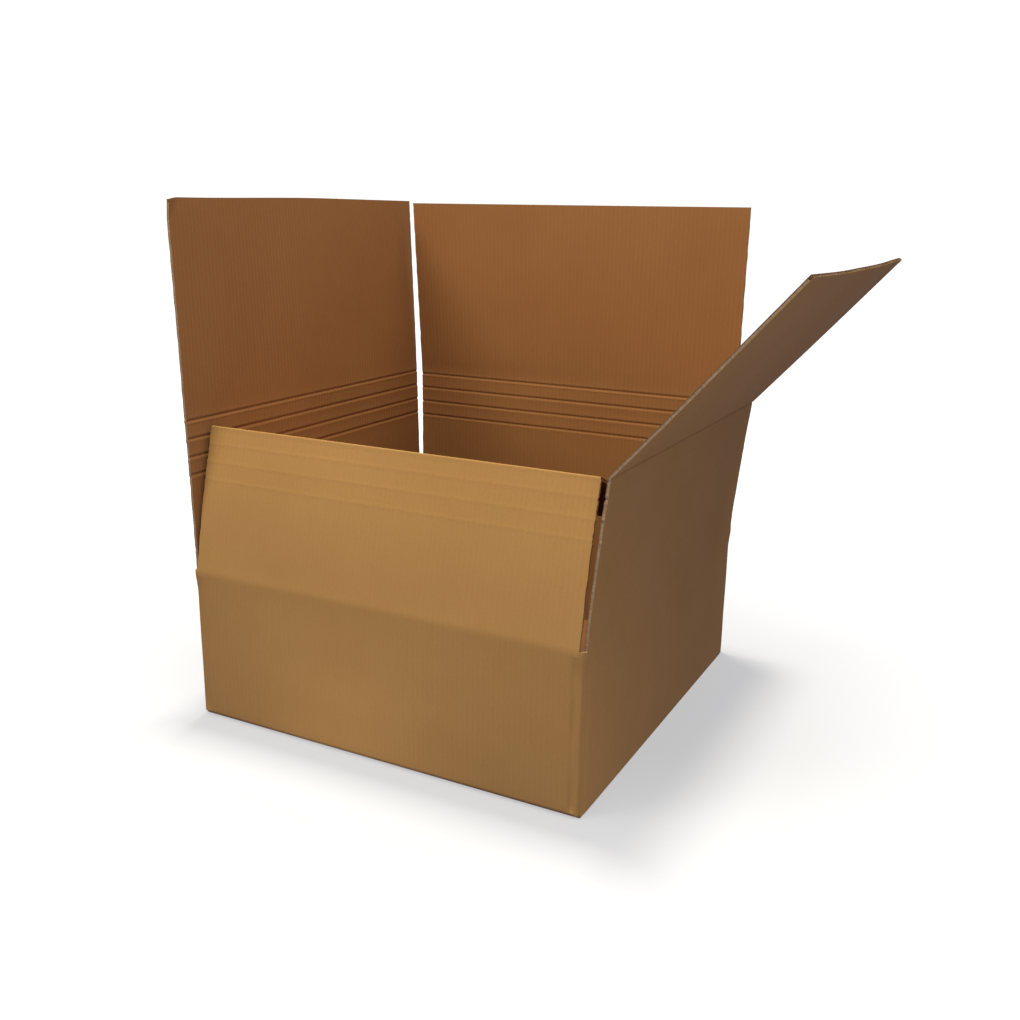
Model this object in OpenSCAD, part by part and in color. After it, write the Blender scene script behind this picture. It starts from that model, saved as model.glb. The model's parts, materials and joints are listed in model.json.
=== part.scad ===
// Open corrugated shipping box, folded from one slotted blank.
// Origin at the middle of the base on the floor, +Z up, front at -Y, right at +X.

/* [Box] */
// Outside length, left to right
box_len = 600; // [400:10:900]
// Outside width, front to back
box_wid = 600; // [400:10:900]
// Height of the crease that the left and right flaps turn on
rim_h = 430; // [380:5:600]
// Height of the fold across the front, where the corner slots end
fold_h = 220; // [120:5:240]
// Length of each top flap from its crease
flap_len = 298; // [150:2:298]

/* [Board] */
// Thickness of the corrugated board
board_t = 4; // [3:0.5:6]
// Outside radius of the upright corners
corner_r = 8; // [6.5:0.5:12]
// Inside radius of the folds along the bottom edges
fold_r = 1; // [0.5:0.5:3]
// Clearance between two layers of closed flaps
layer_gap = 0.5; // [0.3:0.1:1]
// Clearance on each side of a crease that turns
crease_gap = 0.2; // [0.1:0.05:0.4]
// Seam where the two outer bottom flaps meet
seam_gap = 0.4; // [0.2:0.1:0.6]

/* [Flutes] */
// Spacing of the flutes in the core
flute_pitch = 7.3; // [6:0.1:9]
// Thickness of each facing paper
liner_t = 0.4; // [0.3:0.1:0.6]
// Thickness of the fluted paper
medium_t = 0.4; // [0.3:0.1:0.6]
// Width of each glued crest of the fluted paper
crest_w = 1.2; // [0.8:0.1:2]
// Depth to which the flutes are open at the free ends of the top flaps
flute_depth = 8; // [4:1:20]

/* [Slots] */
// Width of the corner slots as cut in the flat blank
slot_w = 12; // [8:1:20]

/* [Depth creases] */
// Number of spare creases below the flap crease
crease_count = 3; // [0:1:4]
// Spacing of the spare creases
crease_step = 25; // [15:1:30]
// Width of a pressed crease
crease_w = 5; // [3:0.5:8]
// Depth of a pressed crease in the inside face
crease_depth = 0.8; // [0.3:0.1:1.2]
// Height of the bead that a crease raises on the outside face
bead_h = 0.3; // [0.1:0.1:0.5]

/* [Resting shape] */
// Inward lean of the upper front panel
front_lean = 13; // [0:0.5:20]
// Inward turn of the front flap, from upright
front_flap_turn = 115; // [100:1:116]
// Outward lean of the upper right wall
right_lean = 6; // [1:0.5:12]
// Outward turn of the right flap, from upright
right_flap_turn = 41; // [10:1:80]
// Outward lean of the upper left wall
left_lean = 1.5; // [0.5:0.5:6]
// Outward turn of the left flap, from upright
left_flap_turn = 2.5; // [0:0.5:10]
// Outward turn of the back flap, from upright
back_flap_turn = 1; // [0:0.5:10]
// Height over which a leaning wall bends
bend_h = 40; // [20:5:60]

/* [Glue tab] */
// Width of the glue tab in the back right corner
tab_w = 36; // [20:1:60]
// Taper of the tab at its two ends
tab_taper = 12; // [4:1:20]

/* [Hidden] */
$fn = 96;
bend_steps = 12;
overlap = 1;
kraft_out = [0.71, 0.56, 0.35];
kraft_in = [0.58, 0.40, 0.23];

// A slot takes half its width from each side of a corner's middle line
setback = slot_w / 2 + board_t / 2;
side_w = box_wid - 2 * setback;
end_w = box_len - 2 * setback;

// The front and back flaps close under the left and right ones
inner_rim_h = rim_h - board_t - layer_gap;
panel_len = inner_rim_h - fold_h;
side_len = rim_h - fold_h;
inner_floor_z = board_t + layer_gap;
bottom_r = fold_r + board_t;

// A crease that turns is cut back on the inside by half its largest fold
square_cut = 45;
front_cut = 55;

// Pressed creases are shallow arcs in the inside face
groove_r = (crease_w * crease_w / 4 + crease_depth * crease_depth) / (2 * crease_depth);
bead_r = board_t / 2;

// Turns about Z that carry a profile to each side of the box
to_right = 0;
to_back = 90;
to_left = 180;
to_front = 270;

// Radius of the outside face where a wall bends outward by an angle
function bend_r(lean) = bend_h * 180 / (PI * lean);
// Place of a leaning wall's top crease: distance outward, then height
function bend_top(lean, length) = [
    bend_r(lean) * (1 - cos(lean)) + (length - bend_h) * sin(lean),
    fold_h + bend_r(lean) * sin(lean) + (length - bend_h) * cos(lean)
];

// Rectangle with rounded corners, centred
module rounded_plan(length, width, radius) {
    square([length - 2 * radius, width], center = true);
    square([length, width - 2 * radius], center = true);
    for (x = [-1, 1], y = [-1, 1])
        translate([x * (length / 2 - radius), y * (width / 2 - radius)]) circle(radius);
}

// Carries a section (outward distance, height) along one side of the box
module along_side(turn, half, width) {
    rotate([0, 0, turn])
        translate([half, width / 2, 0])
            rotate([90, 0, 0])
                linear_extrude(height = width) children();
}

module along_right() { along_side(to_right, box_len / 2, side_w) children(); }
module along_left() { along_side(to_left, box_len / 2, side_w) children(); }
module along_back() { along_side(to_back, box_wid / 2, end_w) children(); }
module along_front() { along_side(to_front, box_wid / 2, end_w) children(); }

// Section of a strip of board between two cuts, outside face on x = 0
module strip(low, high, low_cut, high_cut) {
    polygon([
        [0, low],
        [0, high],
        [-board_t, high - board_t * tan(high_cut)],
        [-board_t, low + board_t * tan(low_cut)]
    ]);
}

// Adds the spare creases to a panel's section, below its top crease
module creased(place, turn) {
    difference() {
        union() {
            children();
            translate(place) rotate(-turn) for (i = [1 : 1 : crease_count])
                translate([bead_h - bead_r, -i * crease_step]) circle(bead_r);
        }
        translate(place) rotate(-turn) for (i = [1 : 1 : crease_count])
            translate([crease_depth - board_t - groove_r, -i * crease_step]) circle(groove_r);
    }
}

// Section of a wall that bends outward above the slots and runs straight to its crease
module leaning_strip(lean, length) {
    r = bend_r(lean);
    top = bend_top(lean, length);
    up = [sin(lean), cos(lean)];
    inward = [-cos(lean), sin(lean)];
    outer_tip = top - crease_gap * up;
    inner_tip = outer_tip + board_t * inward - board_t * tan(square_cut) * up;
    angles = [for (i = [0 : bend_steps]) lean * i / bend_steps];
    creased(top, lean) polygon(concat(
        [[-board_t, fold_h - overlap], [0, fold_h - overlap]],
        [for (a = angles) [r - r * cos(a), fold_h + r * sin(a)]],
        [outer_tip, inner_tip],
        [for (i = [bend_steps : -1 : 0])
            [r - (r + board_t) * cos(angles[i]), fold_h + (r + board_t) * sin(angles[i])]]
    ));
}

// Hollows between the facings and the fluted paper, across a width of board
module flute_cells(width) {
    cells = floor(width / flute_pitch) - 1;
    base = (flute_pitch - crest_w) / 2;
    tip = (crest_w - medium_t) / 2;
    reach = board_t - liner_t - medium_t;
    for (i = [1 : cells]) translate([0, (i - (cells + 1) / 2) * flute_pitch])
        polygon([[-liner_t, -base], [-liner_t, base], [-reach, tip], [-reach, -tip]]);
    for (i = [1 : cells - 1]) translate([-board_t, (i - cells / 2) * flute_pitch])
        polygon([[liner_t, -base], [liner_t, base], [reach, tip], [reach, -tip]]);
}

// Flap that turns on a crease at a given place, with its flutes open along the free end
module flap(side_turn, half, width, place, turn, low_cut) {
    difference() {
        along_side(side_turn, half, width)
            translate(place) rotate(-turn) strip(crease_gap, flap_len, low_cut, 0);
        rotate([0, 0, side_turn])
            translate([half + place.x, 0, place.y])
                rotate([0, turn, 0])
                    translate([0, 0, flap_len - flute_depth])
                        linear_extrude(height = flute_depth + overlap) flute_cells(width);
    }
}

// Section of a bottom fold and the flap that it leads to, resting at a height
module bottom_section(rest_z, reach) {
    translate([-bottom_r, rest_z + bottom_r]) difference() {
        intersection() {
            circle(bottom_r);
            translate([0, -bottom_r]) square(bottom_r);
        }
        circle(fold_r);
    }
    translate([-board_t, rest_z + bottom_r]) square([board_t, overlap]);
    translate([-reach, rest_z]) square([reach - bottom_r, board_t]);
}

// Upright walls below the slots, open at the bottom for the folds
module lower_walls() {
    front_top = fold_h - crease_gap;
    difference() {
        translate([0, 0, bottom_r]) linear_extrude(height = fold_h - bottom_r) difference() {
            rounded_plan(box_len, box_wid, corner_r);
            rounded_plan(box_len - 2 * board_t, box_wid - 2 * board_t, corner_r - board_t);
        }
        along_front() polygon([
            [overlap, front_top],
            [0, front_top],
            [-board_t, front_top - board_t * tan(square_cut)],
            [-board_t - overlap, front_top - board_t * tan(square_cut)],
            [-board_t - overlap, fold_h + overlap],
            [overlap, fold_h + overlap]
        ]);
        for (turn = [to_front, to_back]) along_side(turn, box_wid / 2, end_w)
            translate([-board_t - overlap, 0])
                square([board_t + 2 * overlap, inner_floor_z + bottom_r]);
    }
}

// Glue tab: carries on from the right wall and lies flat on the inside of the back wall
module glue_tab() {
    tab_right = box_len / 2 - board_t;
    tab_low = inner_floor_z + board_t + layer_gap;
    tab_high = fold_h - tab_taper;
    translate([0, box_wid / 2 - board_t, 0])
        rotate([90, 0, 0])
            linear_extrude(height = board_t)
                polygon([
                    [tab_right, tab_low],
                    [tab_right, tab_high],
                    [tab_right - tab_w, tab_high - tab_taper],
                    [tab_right - tab_w, tab_low + tab_taper]
                ]);
}

// Walls, closed bottom and glue tab, one sheet folded round
module box_body() {
    color(kraft_out) {
        lower_walls();
        glue_tab();
        along_right() leaning_strip(right_lean, side_len);
        along_left() leaning_strip(left_lean, side_len);
        along_back() creased([0, inner_rim_h], 0)
            strip(fold_h - overlap, inner_rim_h - crease_gap, 0, square_cut);
        for (turn = [to_left, to_right]) along_side(turn, box_len / 2, side_w)
            bottom_section(0, (box_len - seam_gap) / 2);
        for (turn = [to_front, to_back]) along_side(turn, box_wid / 2, end_w)
            bottom_section(inner_floor_z, (box_wid - seam_gap) / 2);
    }
}

// Upper half of the front wall, folded inward at the bottom of the slots
module front_panel() {
    color(kraft_out) along_front() translate([0, fold_h]) rotate(front_lean)
        creased([0, panel_len], 0) strip(crease_gap, panel_len - crease_gap, square_cut, front_cut);
}

// Top flap of the front, folded down into the box
module front_flap() {
    place = [-panel_len * sin(front_lean), fold_h + panel_len * cos(front_lean)];
    color(kraft_in) flap(to_front, box_wid / 2, end_w, place, -front_flap_turn, front_cut);
}

// Top flap of the right wall, folded outward
module right_flap() {
    place = bend_top(right_lean, side_len);
    color(kraft_in) flap(to_right, box_len / 2, side_w, place, right_flap_turn, square_cut);
}

// Top flap of the back wall, standing up
module back_flap() {
    place = [0, inner_rim_h];
    color(kraft_in) flap(to_back, box_wid / 2, end_w, place, back_flap_turn, square_cut);
}

// Top flap of the left wall, standing up
module left_flap() {
    place = bend_top(left_lean, side_len);
    color(kraft_in) flap(to_left, box_len / 2, side_w, place, left_flap_turn, square_cut);
}

box_body();
front_panel();
front_flap();
right_flap();
back_flap();
left_flap();
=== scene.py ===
"""Open corrugated box: liners, fluted core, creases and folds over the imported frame, in metres."""
import json
import math
import bpy
import numpy as np
from mathutils import Matrix, Vector


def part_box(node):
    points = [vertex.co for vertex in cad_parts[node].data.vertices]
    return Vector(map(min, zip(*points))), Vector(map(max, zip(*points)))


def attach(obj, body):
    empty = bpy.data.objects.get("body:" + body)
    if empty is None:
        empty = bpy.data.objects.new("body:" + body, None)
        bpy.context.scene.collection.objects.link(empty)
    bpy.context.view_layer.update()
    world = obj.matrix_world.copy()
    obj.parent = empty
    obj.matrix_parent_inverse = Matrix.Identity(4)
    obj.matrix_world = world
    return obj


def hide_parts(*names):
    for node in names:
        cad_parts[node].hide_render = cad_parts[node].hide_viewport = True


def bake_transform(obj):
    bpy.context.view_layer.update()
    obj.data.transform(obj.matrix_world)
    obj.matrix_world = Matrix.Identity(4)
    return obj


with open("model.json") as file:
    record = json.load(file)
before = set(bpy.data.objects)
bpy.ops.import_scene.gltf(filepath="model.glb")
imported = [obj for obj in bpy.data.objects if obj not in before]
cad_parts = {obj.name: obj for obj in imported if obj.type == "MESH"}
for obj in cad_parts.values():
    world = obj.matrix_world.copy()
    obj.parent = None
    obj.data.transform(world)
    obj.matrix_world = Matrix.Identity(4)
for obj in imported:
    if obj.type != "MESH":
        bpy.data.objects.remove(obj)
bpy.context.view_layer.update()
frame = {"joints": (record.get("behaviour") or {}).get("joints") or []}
joints = {j["name"]: Vector(j["pos_m"]) for j in frame["joints"]}

# Sizes that the frame gives: half the base, the height of the front fold, and half the width of a flap
HALF = -joints["front_panel_fold"].y
FOLD_H = joints["front_panel_fold"].z
SIDE_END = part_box("back_flap")[1][0]

# Board: its thickness, the pitch of its flutes, the share of a liner in it, and the length of a top flap
BOARD = 0.004
FLUTE = 0.0073
LINER_SHARE = 0.09
FLAP_LEN = 0.298

# Rounds of the folded sheet, height of the bottom's upper layer, and half the gap in its middle
CORNER_R = HALF - SIDE_END
BOTTOM_R = 0.005
LAYER = 0.0045
SEAM = 0.0002

# Pressed creases: a groove with a low lip each side, in half widths, and a bead on the outside
CREASE_STEP = 0.025
CREASE_COUNT = 3
GROOVE = 0.0010
GROOVE_HALF = 0.0019
GROOVE_STOPS = (0.0, 0.4, 0.8, 1.2, 1.7, 2.3, 3.0)
LIP = 0.22
LIP_AT = 2.0
BEAD = 0.0002

# Resting angles, in degrees from upright, outward positive
FRONT_LEAN = -13.0
FRONT_FLAP = -115.0
RIGHT_LEAN = 6.0
RIGHT_FLAP = 41.0
LEFT_LEAN = 1.5
LEFT_FLAP = 2.5
BACK_FLAP = 1.0

# Height of the springy bend that leans the left and right walls
BEND_H = 0.040

# Twist of the standing flaps at one end, in degrees: the back flap at its left, the left flap at its front
BACK_TWIST = -6.0
LEFT_TWIST = -1.0

# Outward bow of the folded front between its folds, and of each flap's free end
FRONT_BOW = 0.003
FLAP_BOW = {"left": 0.004, "back": 0.003, "right": 0.003, "front": 0.002}

# The right flap leans a little more than its crease, and is a little longer
RIGHT_MORE = 0.7
RIGHT_LONG = 0.003

# The left flap's front end is cut short, and its tip is crushed
LEFT_SHORT = 0.005
SHORT_FROM = 0.05
CRUSH_REACH = 0.020
CRUSH_DEPTH = 0.0025
CRUSH_SLANT = 0.6

# Glue tab in the back right corner
TAB_W = 0.036
TAB_TAPER = 0.012
TAB_LOW = 0.009
TAB_HIGH = FOLD_H - TAB_TAPER
TAB_GAP = 0.0001
TAB_GRID = (20, 9)

# How far the paper of a flap reaches onto the panel that carries it
CREASE_REACH = 0.005
FRONT_TOP_REACH = 0.008
FRONT_FOLD_REACH = 0.007

# Radius of the folds at the outside face, and at the inside of the pressed one
RIGHT_FOLD_R = 0.0012
FRONT_TOP_R = 0.0016
FRONT_TOP_INNER_R = 0.0003
FRONT_FOLD_R = 0.055

# Line pressed into the outside of the right crease
RIGHT_PRESS = 0.0011
RIGHT_PRESS_HALF = 0.0012

# How far the fluted core lies behind the edge of the liners
RECESS = {"seam": 0.00005, "cut": 0.0004, "free": 0.0050}

# Wave of the core at a free end: half its thickness and its swing as shares of the board, and its edge
WAVE_HALF = 0.035
WAVE_SWING = 0.375
WAVE_STEPS = 10
WAVE_MARGIN = 0.001
WAVE_BACK = 0.0003
WAVE_RAGGED = 0.0002
WAVE_SINK = 0.0002

# Upright corners: the walls curve in over a short way before the round, fading out under the fold
SOFT_W = 0.018
SOFT_D = 0.0022
SOFT_FADE = 0.020
CORNER_ARC = CORNER_R * math.pi / 4
CORNER_STEPS = 16
ARC_PULL = 0.5523

# Crumpled paper of the corners: place from the corner's middle, half width and outward shift of each line
CRUMPLES = (
    (-0.0115, 0.0030, -0.0014),
    (-0.0035, 0.0030, 0.0004),
    (0.0045, 0.0014, -0.0007),
    (0.0120, 0.0028, -0.0006),
)
CRUMPLE_VARY = 0.35
CRUMPLE_WAVE = 61.0

# Bulge of the walls and unevenness of the board, with the ramps over which they fade
BULGE = 0.0014
BULGE_RAMP = 0.12
BULGE_RISE = 0.08
WALL_UNEVEN = 0.0009
WALL_RAMP = 0.05
FLAP_UNEVEN = 0.0008
FLAP_RAMP = FLAP_LEN / 4
PANEL_RAMP = 0.04
LIFT_RAMP = 0.03
RAGGED = 0.0005

# Waves of the unevenness in radians a metre: across and along the sheet, and along a slotted edge
BROAD_WAVE = (11.0, 8.0)
FINE_WAVE = (23.0, -14.0)
EDGE_WAVES = (430.0, 910.0)

# Mesh spacing, closer at the cut ends, the folds and the free ends
ROW = 0.011
FOLD_ROW = 0.002
PRESS_ROW = 0.0007
END_ROW = 0.005
END_RUN = 0.030
GROOVE_RUN = 0.020
COLUMN = 0.0085
END_COLUMNS = (0.0, 0.001, 0.002, 0.003, 0.004, 0.005, 0.0065, 0.0085, 0.011, 0.014)
END_WIDTH = 0.018

# How far above the fold the slotted edges turn ragged, on the walls and on the front panel
WALL_SLOT = 0.001
PANEL_SLOT = 0.01

# Tolerances: same length, same height, welding grid lines a metre, same direction, sharp angle in degrees
SAME_LENGTH = 1e-5
SAME_HEIGHT = 1e-6
WELD_GRID = 2e4
SAME_WAY = 0.7
SHARP = 40.0

# Quarter turns of each side from the right one
SIDES = {"right": 0, "back": 1, "left": 2, "front": 3}


def side_axes(side):
    """Outward direction and the direction along one side, counter-clockwise from above."""
    turn = SIDES[side] * math.pi / 2
    outward = np.array([math.cos(turn), math.sin(turn), 0.0])
    along = np.array([-math.sin(turn), math.cos(turn), 0.0])
    return outward, along


def hinge(name, side):
    """A joint's place on its side: distance outward of the wall's face, then height."""
    outward, _ = side_axes(side)
    return float(np.dot(joints[name], outward)) - HALF, joints[name].z


# Paths of board in the plane across a side


def groove_depth(away):
    """Depth of a pressed crease at a distance from its middle, in half widths."""
    lip = LIP * math.exp(-((abs(away) - LIP_AT) ** 2))
    return GROOVE * (math.exp(-away * away) - lip)


class Path:
    """Rows of board along a path. A heading of 0 is up and 90 is outward."""

    def __init__(self, start, heading, length=0.0):
        self.at = np.array(start, float)
        self.heading = math.radians(heading)
        self.length = length
        self.rows = []

    def forward(self):
        return np.array([math.sin(self.heading), math.cos(self.heading)])

    def inward(self):
        return np.array([-math.cos(self.heading), math.sin(self.heading)])

    def mark(self, groove=0.0, bead=0.0):
        """Adds a row here, unless the last one is at this place already."""
        if self.rows and self.length - self.rows[-1][2] < SAME_LENGTH:
            return
        outer = self.at - self.inward() * bead
        inner = self.at + self.inward() * (BOARD - groove)
        self.rows.append((outer, inner, self.length))

    def straight(self, length, creases=(), step=ROW):
        """Runs on, with a pressed groove at each distance in creases."""
        stops = set(np.linspace(0.0, length, max(2, round(length / step) + 1)))
        for crease in creases:
            for spread in GROOVE_STOPS:
                for sign in (-1, 1):
                    stop = crease + sign * spread * GROOVE_HALF
                    if 0.0 < stop < length:
                        stops.add(stop)
        start = self.at.copy()
        begun = self.length
        for stop in sorted(stops):
            self.at = start + self.forward() * stop
            self.length = begun + stop
            near = [(stop - c) / GROOVE_HALF for c in creases]
            groove = sum(groove_depth(d) for d in near)
            bead = sum(BEAD * math.exp(-0.5 * d * d) for d in near)
            self.mark(groove, bead)
        return self

    def press(self, centre, depth, half_width):
        """Presses a line into the outside face at a path length."""
        for k, (outer, inner, length) in enumerate(self.rows):
            dip = depth * math.exp(-(((length - centre) / half_width) ** 2))
            across = (inner - outer) / np.linalg.norm(inner - outer)
            self.rows[k] = (outer + across * dip, inner, length)
        return self

    def bend(self, turn, radius, steps=8):
        """Turns by an angle in degrees, outward positive, with a radius at the outside face."""
        sign = 1.0 if turn > 0 else -1.0
        centre = self.at - self.inward() * radius * sign
        begun = self.heading
        length = self.length
        for i in range(1, steps + 1):
            share = i / steps
            self.heading = begun + math.radians(turn) * share
            self.at = centre + self.inward() * radius * sign
            self.length = length + abs(math.radians(turn)) * share * (radius + BOARD / 2)
            self.mark()
        return self

    def pressed_bend(self, turn, radius, inner_radius, steps=12):
        """Turns inward about a pressed crease, where the board is thinner than elsewhere."""
        angle = math.radians(abs(turn))
        run = (BOARD + inner_radius - radius) * math.tan(angle / 2)
        begun = self.heading
        length = self.length
        start = self.at.copy()
        ahead, across = self.forward(), self.inward()
        outer_centre = start + ahead * run + across * radius
        inner_centre = start + across * (BOARD + inner_radius)
        whole = 2 * run + radius * angle
        for i in range(1, steps + 1):
            share = i / steps
            way = whole * share
            arc = min(max(way - run, 0.0), radius * angle)
            self.heading = begun - arc / radius
            self.at = outer_centre - self.inward() * radius
            self.at = self.at + self.forward() * (min(way - run, 0.0) + max(way - run - radius * angle, 0.0))
            outer = self.at.copy()
            kept = self.heading
            self.heading = begun - angle * share
            inner = inner_centre - self.inward() * inner_radius
            self.heading = kept
            self.length = length + way
            self.rows.append((outer, inner, self.length))
        self.heading = begun - angle
        return self


def bend_setback(turn, radius):
    """Distance from a fold's corner to where its round begins."""
    return radius * math.tan(math.radians(abs(turn)) / 2)


# Small unevenness of real board


def ripple(x, y, seed):
    """Smooth unevenness from -1 to 1."""
    broad = math.sin(x * BROAD_WAVE[0] + seed * 1.7) * math.cos(y * BROAD_WAVE[1] + seed * 0.9)
    fine = math.sin(x * FINE_WAVE[0] + y * FINE_WAVE[1] + seed * 2.3)
    return 0.6 * broad + 0.4 * fine


def ragged(y, seed):
    """Unevenness of a slotted edge, from -1 to 1."""
    broad = math.sin(y * EDGE_WAVES[0] + seed * 2.1)
    fine = math.sin(y * EDGE_WAVES[1] + seed * 4.7)
    return 0.6 * broad + 0.4 * fine


def smooth(x):
    """0 below 0 and 1 above 1, with a smooth rise between."""
    x = min(max(x, 0.0), 1.0)
    return x * x * (3 - 2 * x)


def window(x, low, high, ramp):
    """1 between low and high, falling to 0 at both over a ramp."""
    return smooth((x - low) / ramp) * smooth((high - x) / ramp)


def softness(height):
    """How fully the walls curve in beside the upright corners at a height: not at all at the fold."""
    return smooth((FOLD_H - FRONT_FOLD_REACH - height) / SOFT_FADE)


def crumple(along, height):
    """Outward shift of the crumpled paper at a distance along from the middle of an upright corner."""
    rise = sum(size * math.exp(-(((along - at) / half) ** 2)) for at, half, size in CRUMPLES)
    return rise * softness(height) * (1.0 + CRUMPLE_VARY * math.sin(height * CRUMPLE_WAVE))


def beside_corner(place, height):
    """Inward shift of a wall at a place near its upright corners."""
    share = min(max(abs(place) - SIDE_END + SOFT_W, 0.0) / SOFT_W, 1.0)
    along = math.copysign(CORNER_ARC + SIDE_END - abs(place), -place)
    return SOFT_D * share * share * softness(height) - crumple(along, height)


# Patches of board and the meshes made from them


def columns():
    """Places across a side, closer together near its two cut ends."""
    inner = np.linspace(-SIDE_END + END_WIDTH, SIDE_END - END_WIDTH, round(2 * SIDE_END / COLUMN))
    ends = [SIDE_END - step for step in END_COLUMNS]
    return sorted([-e for e in ends] + list(inner) + ends)


class Patch:
    """A grid of board: outside and inside points, place on the sheet, and the kind of each end."""

    def __init__(self, shape, low="seam", high="seam", sides="cut"):
        self.outer = np.zeros(shape + (3,))
        self.inner = np.zeros(shape + (3,))
        self.sheet = np.zeros(shape + (2,))
        self.low, self.high, self.sides = low, high, sides


def side_patch(side, path, low, high, warp=None, ragged_from=None, seed=0.0, settle=None):
    """Carries a path along a side. warp shifts it outward and settle shortens it, by place and length."""
    outward, along = side_axes(side)
    places = columns()
    patch = Patch((len(path.rows), len(places)), low, high)
    for j, (outer, inner, length) in enumerate(path.rows):
        across = (inner - outer) / np.linalg.norm(inner - outer)
        ahead = np.array([across[1], -across[0]])
        for i, place in enumerate(places):
            u = place
            if ragged_from is not None and length > ragged_from and i in (0, len(places) - 1):
                u += RAGGED * ragged(length, seed + i)
            shift = -across * (warp(place, length) if warp else 0.0)
            if settle:
                shift = shift - ahead * settle(place, length)
            for grid, point in ((patch.outer, outer), (patch.inner, inner)):
                p = point + shift
                grid[j, i] = outward * (HALF + p[0]) + along * u + np.array([0, 0, p[1]])
            patch.sheet[j, i] = (SIDES[side] * 2 * HALF + u, length)
    return patch


def corner_patch(side, heights):
    """The upright round corner between a side and the next one."""
    outward, along = side_axes(side)
    patch = Patch((len(heights), CORNER_STEPS + 1), "cut", "cut")
    for j, height in enumerate(heights):
        soft = softness(height)
        slope = math.atan(2 * SOFT_D / SOFT_W) * soft
        start = outward * (HALF - SOFT_D * soft) + along * SIDE_END
        end = outward * SIDE_END + along * (HALF - SOFT_D * soft)
        go = along * math.cos(slope) - outward * math.sin(slope)
        come = -outward * math.cos(slope) + along * math.sin(slope)
        pull = ARC_PULL * CORNER_R
        hold = [start, start + go * pull, end - come * pull, end]
        for i in range(CORNER_STEPS + 1):
            t = i / CORNER_STEPS
            weights = ((1 - t) ** 3, 3 * t * (1 - t) ** 2, 3 * t * t * (1 - t), t**3)
            place = sum(w * h for w, h in zip(weights, hold)) + np.array([0, 0, height])
            slopes = ((1 - t) ** 2, 2 * t * (1 - t), t * t)
            way = sum(w * (b - a) for w, a, b in zip(slopes, hold[:-1], hold[1:]))
            normal = np.array([way[1], -way[0], 0.0]) / np.linalg.norm(way)
            if i == 0:
                normal = outward
            if i == CORNER_STEPS:
                normal = along
            rise = crumple((2 * t - 1) * CORNER_ARC, height)
            patch.outer[j, i] = place + normal * rise
            patch.inner[j, i] = place + normal * (rise - BOARD)
            patch.sheet[j, i] = (SIDES[side] * 2 * HALF + SIDE_END + 2 * CORNER_ARC * t, height + HALF)
    return patch


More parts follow.
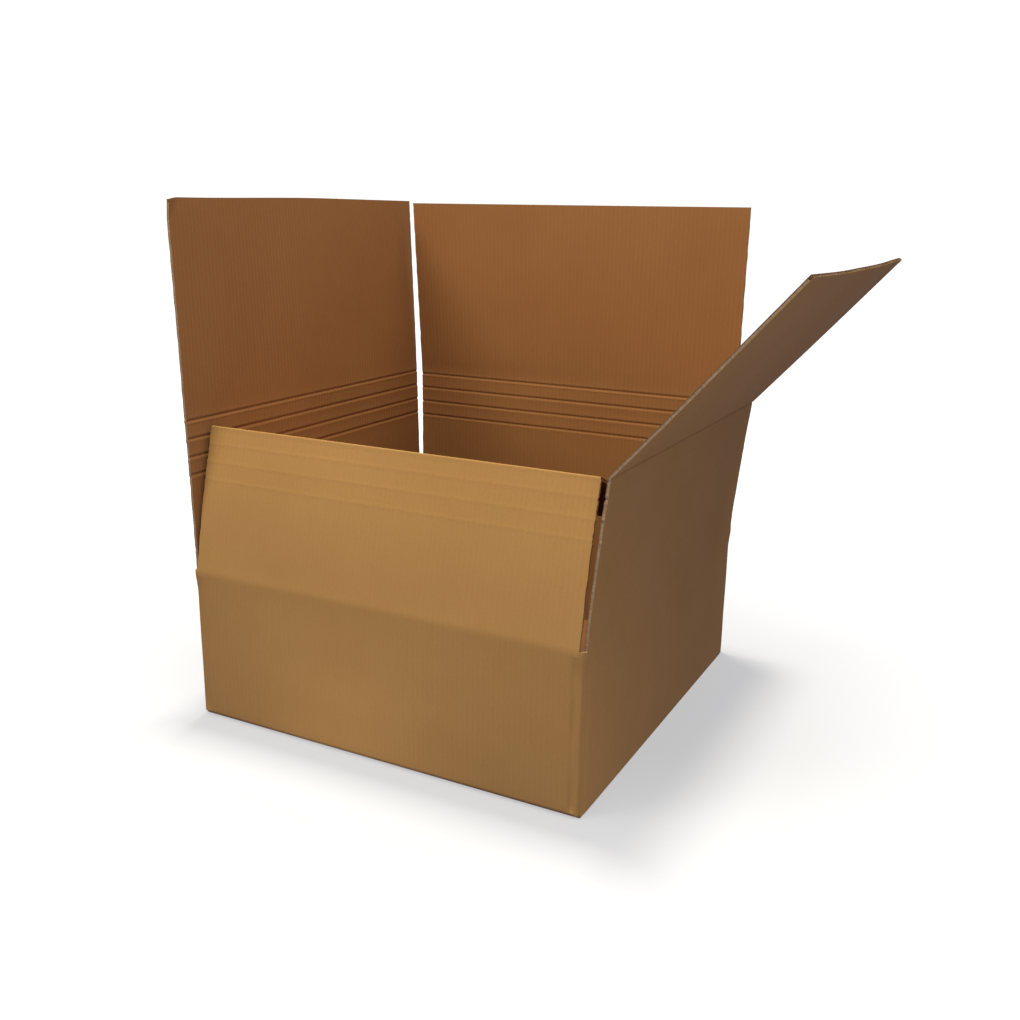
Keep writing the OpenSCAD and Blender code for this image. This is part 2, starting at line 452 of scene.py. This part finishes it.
class Board:
    """Welds patches into one closed sheet of board with liners, a recessed core and fluted ends."""

    OUTSIDE, INSIDE, CORE = 0, 1, 2

    def __init__(self):
        self.nodes = {}
        self.outer, self.inner, self.sheet = [], [], []
        self.cells, self.kinds = [], {}
        self.points, self.coords = [], []
        self.faces, self.slots = [], []
        self.first_outer = self.first_inner = 0

    def node(self, outer, inner, sheet):
        key = tuple(np.round(np.concatenate((outer, inner)) * WELD_GRID).astype(int))
        if key not in self.nodes:
            self.nodes[key] = len(self.outer)
            self.outer.append(outer)
            self.inner.append(inner)
            self.sheet.append(sheet)
        return self.nodes[key]

    def add(self, patch):
        rows, cols = patch.outer.shape[:2]
        ids = [
            [self.node(patch.outer[j, i], patch.inner[j, i], patch.sheet[j, i]) for i in range(cols)]
            for j in range(rows)
        ]
        for j in range(rows - 1):
            for i in range(cols - 1):
                self.cells.append((ids[j][i], ids[j][i + 1], ids[j + 1][i + 1], ids[j + 1][i]))
        for j, kind in ((0, patch.low), (rows - 1, patch.high)):
            for i in range(cols - 1):
                self.kinds[frozenset((ids[j][i], ids[j][i + 1]))] = kind
        for i in (0, cols - 1):
            for j in range(rows - 1):
                self.kinds[frozenset((ids[j][i], ids[j + 1][i]))] = patch.sides
        for kind, row, inside in ((patch.low, 0, 1), (patch.high, rows - 1, rows - 2)):
            if kind == "free":
                self.flutes(patch, row, inside)
        return self

    def point(self, place, sheet):
        self.points.append(place)
        self.coords.append(sheet)
        return len(self.points) - 1

    def face(self, corners, slot):
        self.faces.append(corners)
        self.slots.append(slot)

    def flutes(self, patch, row, inside):
        """The wave of the core, seen between the liners along a cut across the flutes."""
        ahead = patch.outer[row] - patch.outer[inside]
        ahead /= np.linalg.norm(ahead, axis=1)[:, None]
        place = patch.sheet[row, :, 0]
        samples = np.arange(place[0] + WAVE_MARGIN, place[-1] - WAVE_MARGIN, FLUTE / WAVE_STEPS)
        rings = []
        for s in samples:
            low = np.array([np.interp(s, place, patch.outer[row, :, k]) for k in range(3)])
            top = np.array([np.interp(s, place, patch.inner[row, :, k]) for k in range(3)])
            way = np.array([np.interp(s, place, ahead[:, k]) for k in range(3)])
            share = 0.5 + WAVE_SWING * math.sin(2 * math.pi * s / FLUTE)
            under, over = share - WAVE_HALF, share + WAVE_HALF
            edge = WAVE_BACK + WAVE_RAGGED * ragged(s, 3.0)
            deep = RECESS["free"] + WAVE_SINK
            corners = ((under, edge), (over, edge), (over, deep), (under, deep))
            sheet = (s, patch.sheet[row, 0, 1])
            rings.append([self.point(low + (top - low) * f - way * d, sheet) for f, d in corners])
        for a, b in zip(rings[:-1], rings[1:]):
            for k in range(4):
                n = (k + 1) % 4
                self.face((a[k], a[n], b[n], b[k]), self.CORE)
        self.face(tuple(reversed(rings[0])), self.CORE)
        self.face(tuple(rings[-1]), self.CORE)

    def rim(self):
        """Edges of the sheet: the ends of the liners, and the core behind them."""
        uses = {}
        for cell in self.cells:
            for k in range(4):
                edge = (cell[k], cell[(k + 1) % 4])
                uses.setdefault(frozenset(edge), []).append((edge, cell[(k + 2) % 4], cell[(k + 3) % 4]))
        around = {}
        rims = []
        for key, found in uses.items():
            if len(found) != 1:
                continue
            (a, b), c, d = found[0]
            away = (self.outer[a] + self.outer[b] - self.outer[c] - self.outer[d]) / 2
            line = self.outer[b] - self.outer[a]
            line = line / np.linalg.norm(line)
            away = away - line * np.dot(away, line)
            away = away / np.linalg.norm(away)
            depth = RECESS[self.kinds.get(key, "cut")]
            rims.append((a, b))
            for n in (a, b):
                around.setdefault(n, []).append((away, depth))
        rings = {}
        for n, edges in around.items():
            shift = edges[0][0] * edges[0][1]
            for away, depth in edges[1:]:
                if np.dot(away, edges[0][0]) > SAME_WAY:
                    shift = (shift + away * depth) / 2
                else:
                    shift = shift + away * depth
            low, top = self.outer[n], self.inner[n]
            near = low + (top - low) * LINER_SHARE
            far = low + (top - low) * (1 - LINER_SHARE)
            rings[n] = [self.point(p, self.sheet[n]) for p in (near, near - shift, far - shift, far)]
        for a, b in rims:
            chain_a = [self.first_outer + a] + rings[a] + [self.first_inner + a]
            chain_b = [self.first_outer + b] + rings[b] + [self.first_inner + b]
            for k, slot in enumerate((self.OUTSIDE, self.CORE, self.CORE, self.CORE, self.INSIDE)):
                self.face((chain_b[k], chain_a[k], chain_a[k + 1], chain_b[k + 1]), slot)

    def build(self, name, materials):
        self.first_outer = len(self.points)
        for p, s in zip(self.outer, self.sheet):
            self.point(p, s)
        self.first_inner = len(self.points)
        for p, s in zip(self.inner, self.sheet):
            self.point(p, s)
        for a, b, c, d in self.cells:
            o, i = self.first_outer, self.first_inner
            self.face((o + a, o + b, o + c, o + d), self.OUTSIDE)
            self.face((i + d, i + c, i + b, i + a), self.INSIDE)
        self.rim()
        mesh = bpy.data.meshes.new(name)
        mesh.from_pydata([tuple(p) for p in self.points], [], self.faces)
        attribute = mesh.attributes.new("sheet", "FLOAT_VECTOR", "POINT")
        flat = np.array([(s[0], s[1], 0.0) for s in self.coords], np.float32)
        attribute.data.foreach_set("vector", flat.ravel())
        for material in materials:
            mesh.materials.append(material)
        mesh.polygons.foreach_set("material_index", self.slots)
        mesh.polygons.foreach_set("use_smooth", [True] * len(mesh.polygons))
        mesh.set_sharp_from_angle(angle=math.radians(SHARP))
        mesh.update()
        piece = bpy.data.objects.new(name, mesh)
        bpy.context.scene.collection.objects.link(piece)
        return piece


# Materials

OUTSIDE_TONE = (0.40, 0.213, 0.058)
INSIDE_TONE = (0.278, 0.124, 0.037)
CORE_TONE = (0.42, 0.275, 0.135)
CLOUD_SHADE = (0.91, 0.89, 0.86)
OUTSIDE_STRIPE = 0.05
INSIDE_STRIPE = 0.14
PAPER_SHEEN = 0.05


class Nodes:
    """Short names for building a node tree."""

    def __init__(self, material):
        material.use_nodes = True
        self.tree = material.node_tree
        self.shader = self.tree.nodes["Principled BSDF"]

    def new(self, kind, inputs=None, **settings):
        node = self.tree.nodes.new(kind)
        for key, value in settings.items():
            setattr(node, key, value)
        for key, value in (inputs or {}).items():
            if isinstance(value, bpy.types.NodeSocket):
                self.tree.links.new(value, node.inputs[key])
            else:
                node.inputs[key].default_value = value
        return node

    def math(self, operation, a, b=0.0):
        return self.new("ShaderNodeMath", {0: a, 1: b}, operation=operation).outputs[0]

    def noise(self, vector, scale, detail=3.0, rough=0.55):
        values = {"Vector": vector, "Scale": scale, "Detail": detail, "Roughness": rough}
        return self.new("ShaderNodeTexNoise", values).outputs["Fac"]

    def remap(self, value, low, high, to_low, to_high):
        values = {"Value": value, 1: low, 2: high, 3: to_low, 4: to_high}
        return self.new("ShaderNodeMapRange", values).outputs[0]

    def stretch(self, vector, scale):
        return self.new("ShaderNodeMapping", {"Vector": vector, "Scale": scale}).outputs[0]

    def mix(self, share, a, b, blend="MIX"):
        node = self.new("ShaderNodeMix", {0: share}, data_type="RGBA", blend_type=blend)
        for socket, value in ((node.inputs[6], a), (node.inputs[7], b)):
            if isinstance(value, bpy.types.NodeSocket):
                self.tree.links.new(value, socket)
            else:
                socket.default_value = (*value, 1.0)
        return node.outputs[2]


def dimmed(color, share):
    """A colour made darker or lighter."""
    return tuple(c * share for c in color)


def kraft(name, tone, stripe):
    """Kraft liner: cloudy brown paper with fibres, specks and the washboard of the flutes."""
    shade = tuple(c * s for c, s in zip(tone, CLOUD_SHADE))
    material = bpy.data.materials.new(name)
    n = Nodes(material)
    sheet = n.new("ShaderNodeAttribute", attribute_name="sheet").outputs["Vector"]
    split = n.new("ShaderNodeSeparateXYZ", {0: sheet})
    wave = n.math("SINE", n.math("MULTIPLY", split.outputs[0], 2 * math.pi / FLUTE))
    clouds = n.noise(sheet, 6.0, 5.0, 0.6)
    streaks = n.noise(n.stretch(sheet, (170.0, 12.0, 1.0)), 1.0, 3.0)
    mottle = n.noise(n.stretch(sheet, (240.0, 300.0, 1.0)), 1.0, 3.0, 0.65)
    fibres = n.noise(n.stretch(sheet, (420.0, 1500.0, 1.0)), 1.0, 4.0, 0.7)
    specks = n.noise(n.stretch(sheet, (900.0, 1300.0, 1.0)), 1.0, 1.0)
    layers = (
        (clouds, 0.30, 0.70, 1.0, shade),
        (streaks, 0.35, 0.70, 0.07, dimmed(shade, 0.84)),
        (mottle, 0.35, 0.70, 0.22, dimmed(shade, 0.78)),
        (fibres, 0.42, 0.68, 0.28, dimmed(tone, 1.22)),
        (specks, 0.68, 0.76, 0.35, dimmed(shade, 0.55)),
        (wave, -1.0, 1.0, stripe, dimmed(shade, 0.70)),
    )
    color = tone
    for pattern, low, high, strength, paint in layers:
        color = n.mix(n.remap(pattern, low, high, 0.0, strength), color, paint)
    n.tree.links.new(color, n.shader.inputs["Base Color"])
    height = n.math("ADD", n.math("MULTIPLY", wave, 0.9), n.math("MULTIPLY", fibres, 0.7))
    bump = n.new("ShaderNodeBump", {"Height": height, "Strength": 0.28, "Distance": 0.00035})
    n.tree.links.new(bump.outputs[0], n.shader.inputs["Normal"])
    n.tree.links.new(n.remap(clouds, 0.2, 0.8, 0.78, 0.92), n.shader.inputs["Roughness"])
    n.shader.inputs["Specular IOR Level"].default_value = PAPER_SHEEN
    return material


def core_paper(name, tone):
    """The fluting medium and torn core at cut edges: rougher, paler paper."""
    material = bpy.data.materials.new(name)
    n = Nodes(material)
    sheet = n.new("ShaderNodeAttribute", attribute_name="sheet").outputs["Vector"]
    grain = n.noise(n.stretch(sheet, (700.0, 700.0, 1.0)), 1.0, 4.0, 0.7)
    color = n.mix(n.remap(grain, 0.3, 0.7, 0.0, 1.0), tone, dimmed(tone, 0.45))
    n.tree.links.new(color, n.shader.inputs["Base Color"])
    bump = n.new("ShaderNodeBump", {"Height": grain, "Strength": 0.4, "Distance": 0.0003})
    n.tree.links.new(bump.outputs[0], n.shader.inputs["Normal"])
    n.shader.inputs["Roughness"].default_value = 0.95
    n.shader.inputs["Specular IOR Level"].default_value = PAPER_SHEEN
    return material


BOARD_LOOK = [
    kraft("kraft_outside", OUTSIDE_TONE, OUTSIDE_STRIPE),
    kraft("kraft_inside", INSIDE_TONE, INSIDE_STRIPE),
    core_paper("fluting", CORE_TONE),
]


# Walls, closed bottom and upright corners

back_top = hinge("back_flap_fold", "back")
left_top = hinge("left_flap_fold", "left")
right_top = hinge("right_flap_fold", "right")
front_top = hinge("front_flap_fold", "front")


def crease_places(length):
    """Distances along a wall of its spare creases, from the wall's start."""
    return [length - i * CREASE_STEP for i in range(1, CREASE_COUNT + 1)]


def wall_path(rest_z, lean, top):
    """A side of the box from the middle of the bottom, up the wall to just under its top crease."""
    path = Path((-HALF + SEAM, rest_z), 90.0)
    path.straight(HALF - SEAM - BOTTOM_R)
    path.bend(-90.0, BOTTOM_R)
    if rest_z < LAYER:
        path.straight(LAYER - rest_z)
    path.straight(FOLD_H - FRONT_FOLD_REACH - LAYER - BOTTOM_R)
    if top is None:
        return path
    path.straight(FRONT_FOLD_REACH)
    if lean:
        path.bend(lean, BEND_H / math.radians(lean), steps=10)
    rise = np.linalg.norm(np.array(top) - path.at)
    path.straight(rise - CREASE_REACH, crease_places(rise))
    return path


def fold_length(path):
    """Path length at which a wall reaches the height of the front fold."""
    above = [row[2] for row in path.rows if row[0][1] > FOLD_H - SAME_HEIGHT]
    return above[0] if above else path.rows[-1][2]


def wall_warp(path, rest_z, seed):
    """A wall's slight bulge, its curve beside the upright corners, and its unevenness above the fold."""
    foot = HALF - SEAM - BOTTOM_R
    fold = fold_length(path)
    end = path.rows[-1][2]
    heights = {row[2]: row[0][1] for row in path.rows}

    def shift(place, length):
        if length < foot:
            return 0.0
        height = heights[length]
        across = window(place, -SIDE_END, SIDE_END, BULGE_RAMP)
        low = window(height, BOTTOM_R, FOLD_H, BULGE_RISE)
        high = window(length, fold, end, WALL_RAMP)
        rise = smooth((height - rest_z) / BOTTOM_R)
        uneven = high * WALL_UNEVEN * ripple(place, length, seed)
        return across * low * BULGE - beside_corner(place, height) * rise + uneven

    return shift


def tab_patch():
    """The glue tab of the right wall, flat on the inside of the back wall."""
    outward, along = side_axes("back")
    rows, cols = TAB_GRID
    patch = Patch(TAB_GRID, "cut", "cut")
    for i in range(cols):
        share = i / (cols - 1)
        place = -HALF + BOARD + TAB_W * share
        low = TAB_LOW + TAB_TAPER * share
        high = TAB_HIGH - TAB_TAPER * share
        for j in range(rows):
            height = low + (high - low) * j / (rows - 1)
            face = HALF - BOARD - TAB_GAP - beside_corner(place, height)
            base = along * place + np.array([0, 0, height])
            patch.outer[j, i] = base + outward * face
            patch.inner[j, i] = base + outward * (face - BOARD)
            patch.sheet[j, i] = (place, height)
    return patch


def corner_heights(path):
    """Heights of a wall's rows from its foot up to the front fold."""
    low, high = BOTTOM_R - SAME_HEIGHT, FOLD_H + SAME_HEIGHT
    return [row[0][1] for row in path.rows if low < row[0][1] < high]


walls = Board()
wall_list = (
    ("right", 0.0, RIGHT_LEAN, right_top),
    ("back", LAYER, 0.0, back_top),
    ("left", 0.0, LEFT_LEAN, left_top),
    ("front", LAYER, 0.0, None),
)
routes = {}
for seed, (side, rest_z, lean, top) in enumerate(wall_list):
    routes[side] = wall_path(rest_z, lean, top)
    slot_from = fold_length(routes[side]) + WALL_SLOT
    warp = wall_warp(routes[side], rest_z, seed + 1.0)
    walls.add(side_patch(side, routes[side], "free", "seam", warp, slot_from, seed))
for side in SIDES:
    walls.add(corner_patch(side, corner_heights(routes["right"])))
walls.add(tab_patch())
box_walls = walls.build("box_walls", BOARD_LOOK)
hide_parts("box_body")
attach(box_walls, "box")


# Flaps and the folded front panel


def flap_start(place, lean, reach):
    """A path that begins a short way under a crease."""
    direction = np.array([math.sin(math.radians(lean)), math.cos(math.radians(lean))])
    return Path(np.array(place) - direction * reach, lean)


def flap_rest(path, length):
    """The rest of a flap out to its free end, with closer rows there."""
    return path.straight(length - END_RUN).straight(END_RUN, step=END_ROW)


def standing_flap_path(place, turn):
    """A flap that stands nearly in line with its wall: its crease is a pressed groove."""
    path = flap_start(place, turn, CREASE_REACH)
    path.straight(CREASE_REACH + GROOVE_RUN, [CREASE_REACH])
    return flap_rest(path, FLAP_LEN - GROOVE_RUN)


def right_flap_path():
    """The right flap, turned outward at its crease."""
    fold = RIGHT_FLAP - RIGHT_LEAN
    back = bend_setback(fold, RIGHT_FOLD_R)
    path = flap_start(right_top, RIGHT_LEAN, CREASE_REACH)
    path.straight(CREASE_REACH - back, step=PRESS_ROW)
    begun = path.length
    path.bend(fold, RIGHT_FOLD_R, steps=8)
    middle = (begun + path.length) / 2
    path.straight(CREASE_REACH, step=PRESS_ROW)
    path.press(middle, RIGHT_PRESS, RIGHT_PRESS_HALF)
    return flap_rest(path, FLAP_LEN - back - CREASE_REACH)


def front_flap_path():
    """The front flap, turned down inside at its crease."""
    fold = FRONT_FLAP - FRONT_LEAN
    back = bend_setback(fold, BOARD + FRONT_TOP_INNER_R)
    path = flap_start(front_top, FRONT_LEAN, FRONT_TOP_REACH)
    path.straight(FRONT_TOP_REACH - back, step=FOLD_ROW)
    path.pressed_bend(fold, FRONT_TOP_R, FRONT_TOP_INNER_R)
    return flap_rest(path, FLAP_LEN - back)


def flap_warp(seed, bow, reach, twist=0.0, lean=0.0):
    """A flap's bow along its free end, its lean and its twist towards one end, none at its crease."""

    def shift(place, length):
        past = max(length - reach, 0.0)
        free = min(past / FLAP_LEN, 1.0)
        arch = math.cos(place / SIDE_END * math.pi / 2)
        end = (place + SIDE_END) / (2 * SIDE_END)
        lift = past * math.tan(math.radians(twist * end + lean)) * smooth(past / LIFT_RAMP)
        uneven = min(past / FLAP_RAMP, 1.0) * FLAP_UNEVEN * ripple(place, length, seed)
        return free * free * bow * arch + lift + uneven

    return shift


def tip_crush(place, length):
    """How far the crushed front tip of the left flap is bent."""
    from_tip = (SIDE_END - place) + CRUSH_SLANT * (CREASE_REACH + FLAP_LEN - length)
    return CRUSH_DEPTH * smooth(1.0 - from_tip / CRUSH_REACH)


def left_settle(place, length):
    """How far the left flap's free end falls short at its front."""
    past = max(length - CREASE_REACH, 0.0) / FLAP_LEN
    end = smooth((place + SHORT_FROM) / (SIDE_END + SHORT_FROM))
    return LEFT_SHORT * end * past * past + tip_crush(place, length)


def left_warp(place, length):
    """The left flap's bow and twist, with its front tip bent inward."""
    flat = flap_warp(5.0, FLAP_BOW["left"], CREASE_REACH, LEFT_TWIST)
    return flat(place, length) - tip_crush(place, length)


def right_settle(place, length):
    """The right flap is cut a little longer than the others."""
    return -RIGHT_LONG * max(length - CREASE_REACH, 0.0) / FLAP_LEN


def make_flap(node, side, path, warp, seed, settle=None):
    """One flap with its fluted end and the paper of its crease."""
    board = Board()
    board.add(side_patch(side, path, "seam", "free", warp, 0.0, seed, settle))
    piece = board.build(node + "_board", BOARD_LOOK)
    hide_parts(node)
    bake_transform(piece)


route = standing_flap_path(left_top, LEFT_FLAP)
make_flap("left_flap", "left", route, left_warp, 5.0, left_settle)
route = standing_flap_path(back_top, BACK_FLAP)
warp = flap_warp(6.0, FLAP_BOW["back"], CREASE_REACH, BACK_TWIST)
make_flap("back_flap", "back", route, warp, 6.0)
warp = flap_warp(7.0, FLAP_BOW["right"], CREASE_REACH, 0.0, RIGHT_MORE)
make_flap("right_flap", "right", right_flap_path(), warp, 7.0, right_settle)
warp = flap_warp(8.0, FLAP_BOW["front"], FRONT_TOP_REACH)
make_flap("front_flap", "front", front_flap_path(), warp, 8.0)


def front_panel_path():
    """Upper front from just under its fold to just under its top crease."""
    back = bend_setback(FRONT_LEAN, FRONT_FOLD_R)
    path = Path((0.0, FOLD_H - FRONT_FOLD_REACH), 0.0, HALF + FOLD_H)
    path.straight(FRONT_FOLD_REACH - back, step=FOLD_ROW)
    path.bend(FRONT_LEAN, FRONT_FOLD_R, steps=6)
    rise = np.linalg.norm(np.array(front_top) - path.at)
    return path.straight(rise - FRONT_TOP_REACH, crease_places(rise))


def front_panel_warp(path):
    """Outward bow and slight unevenness of the upper front, none at its two folds."""
    start = HALF + FOLD_H + 2 * FRONT_FOLD_REACH
    end = path.rows[-1][2]

    def shift(place, length):
        share = min(max((length - start) / (end - start), 0.0), 1.0)
        bow = FRONT_BOW * math.sin(math.pi * share)
        return bow + window(length, start, end, PANEL_RAMP) * FLAP_UNEVEN * ripple(place, length, 9.0)

    return shift


board = Board()
route = front_panel_path()
slot_from = HALF + FOLD_H + PANEL_SLOT
board.add(side_patch("front", route, "seam", "seam", front_panel_warp(route), slot_from, 9.0))
front_panel_board = board.build("front_panel_board", BOARD_LOOK)
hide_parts("front_panel")
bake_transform(front_panel_board)


# Stage, light and camera

# Photo's frame and focal length in pixels, and the camera's place and angles in degrees
PHOTO_SIZE = 1020
FOCAL_PX = 1065.1
CAMERA_AT = (0.7424, -1.3564, 0.7084)
CAMERA_YAW = -27.218
CAMERA_PITCH = 15.528
CAMERA_ROLL = 0.894
SENSOR = 36.0
CLIP_END = 100.0

# Floor and backdrop: the floor glows more between two distances from the box
FLOOR_R = 14.0
FLOOR_SIDES = 64
FLOOR_TONE = (0.15, 0.149, 0.140)
FLOOR_GLOW_NEAR = 0.50
FLOOR_GLOW_FAR = 1.05
GLOW_FROM = 0.45
GLOW_TO = 1.9
BACKDROP_GLOW = 1.05

# Lamps: name, place, size, power in watts and tint, all aimed at the middle of the box
LAMP_AIM = (0.0, 0.0, 0.25)
AMBIENT = (0.29, 0.293, 0.53)
WARM = (1.0, 0.975, 0.93)
COOL = (0.85, 0.92, 1.0)
LAMPS = (
    ("key", (-1.25, -1.8, 2.7), 1.2, 52.0, WARM),
    ("fill", (0.25, -0.7, 2.6), 1.2, 52.0, WARM),
    ("side", (0.9, 0.5, 2.6), 1.2, 18.0, WARM),
    ("cool", (0.95, -1.15, 0.45), 0.5, 1.55, COOL),
    ("foot", (-0.05, -0.45, 0.02), 0.25, 0.10, WARM),
    ("corner", (0.68, -0.34, 0.03), 0.30, 0.38, WARM),
)

# The lamp that only lights the floor, where only the walls and the front panel stop it
FLOOR_LAMP_AT = (-0.25, 0.40, 3.0)
FLOOR_LAMP_SIZE = 0.7
FLOOR_LAMP_POWER = 215.0


def photo_camera():
    """Camera at the photograph's angle."""
    yaw, pitch, roll = (math.radians(a) for a in (CAMERA_YAW, CAMERA_PITCH, CAMERA_ROLL))
    ahead = Vector((math.sin(yaw) * math.cos(pitch), math.cos(yaw) * math.cos(pitch), -math.sin(pitch)))
    right = Vector((math.cos(yaw), -math.sin(yaw), 0.0))
    up = right.cross(ahead)
    right, up = (
        right * math.cos(roll) + up * math.sin(roll),
        up * math.cos(roll) - right * math.sin(roll),
    )
    data = bpy.data.cameras.new("photo_camera")
    data.sensor_width = SENSOR
    data.lens = SENSOR * FOCAL_PX / PHOTO_SIZE
    data.clip_end = CLIP_END
    camera = bpy.data.objects.new("photo_camera", data)
    turn = Matrix((right, up, -ahead)).transposed()
    camera.matrix_world = Matrix.Translation(CAMERA_AT) @ turn.to_4x4()
    bpy.context.scene.collection.objects.link(camera)
    bpy.context.scene.camera = camera


def stage_piece(name, points, faces, material):
    """A piece of the surround, which sends no light back to the box."""
    mesh = bpy.data.meshes.new(name)
    mesh.from_pydata(points, [], faces)
    mesh.materials.append(material)
    piece = bpy.data.objects.new(name, mesh)
    piece.visible_diffuse = False
    piece.visible_glossy = False
    bpy.context.scene.collection.objects.link(piece)
    return piece


def circle(height):
    """Points round the edge of the floor at a height."""
    turns = np.linspace(0.0, 2 * math.pi, FLOOR_SIDES, endpoint=False)
    return [(FLOOR_R * math.cos(a), FLOOR_R * math.sin(a), height) for a in turns]


def pale_floor():
    """A wide pale floor that glows a little, more so far off."""
    material = bpy.data.materials.new("floor_white")
    n = Nodes(material)
    place = n.new("ShaderNodeTexCoord").outputs["Object"]
    away = n.new("ShaderNodeVectorMath", {0: place}, operation="LENGTH").outputs["Value"]
    n.shader.inputs["Base Color"].default_value = (*FLOOR_TONE, 1.0)
    n.shader.inputs["Roughness"].default_value = 0.9
    n.shader.inputs["Specular IOR Level"].default_value = 0.0
    n.shader.inputs["Emission Color"].default_value = (1.0, 1.0, 1.0, 1.0)
    glow = n.remap(away, GLOW_FROM, GLOW_TO, FLOOR_GLOW_NEAR, FLOOR_GLOW_FAR)
    n.tree.links.new(glow, n.shader.inputs["Emission Strength"])
    material.cycles.emission_sampling = "NONE"
    points = circle(0.0)
    return stage_piece("floor", points, [tuple(range(len(points)))], material)


def white_backdrop():
    """A white surround all the way round, beyond the floor."""
    material = bpy.data.materials.new("backdrop_white")
    n = Nodes(material)
    n.shader.inputs["Base Color"].default_value = (0.0, 0.0, 0.0, 1.0)
    n.shader.inputs["Specular IOR Level"].default_value = 0.0
    n.shader.inputs["Emission Color"].default_value = (1.0, 1.0, 1.0, 1.0)
    n.shader.inputs["Emission Strength"].default_value = BACKDROP_GLOW
    material.cycles.emission_sampling = "NONE"
    points = circle(0.0) + circle(FLOOR_R)
    count = len(points) // 2
    faces = [(i, (i + 1) % count, count + (i + 1) % count, count + i) for i in range(count)]
    stage_piece("backdrop", points, faces, material)


def area_light(name, place, size, power, tint):
    """A round soft lamp aimed at the middle of the box."""
    data = bpy.data.lights.new(name, "AREA")
    data.shape = "DISK"
    data.size = size
    data.energy = power
    data.color = tint
    lamp = bpy.data.objects.new(name, data)
    lamp.visible_camera = False
    aim = Vector(LAMP_AIM) - Vector(place)
    lamp.matrix_world = Matrix.Translation(place) @ aim.to_track_quat("-Z", "Y").to_matrix().to_4x4()
    bpy.context.scene.collection.objects.link(lamp)
    return lamp


def studio_light(floor):
    """Soft lamps, two weak ones low down, one for the walls' shadow on the floor, and an even surround."""
    for lamp in LAMPS:
        area_light(*lamp)
    floor_only = bpy.data.collections.new("floor_only")
    floor_only.objects.link(floor)
    floor_lamp = area_light("floor_lamp", FLOOR_LAMP_AT, FLOOR_LAMP_SIZE, FLOOR_LAMP_POWER, WARM)
    floor_lamp.light_linking.receiver_collection = floor_only
    walls_only = bpy.data.collections.new("walls_only")
    walls_only.objects.link(box_walls)
    walls_only.objects.link(front_panel_board)
    floor_lamp.light_linking.blocker_collection = walls_only
    world = bpy.data.worlds.new("surround")
    world.use_nodes = True
    background = world.node_tree.nodes["Background"]
    background.inputs["Color"].default_value = (*AMBIENT, 1.0)
    background.inputs["Strength"].default_value = 1.0
    bpy.context.scene.world = world
    bpy.context.scene.view_settings.view_transform = "Standard"


photo_camera()
white_backdrop()
studio_light(pale_floor())
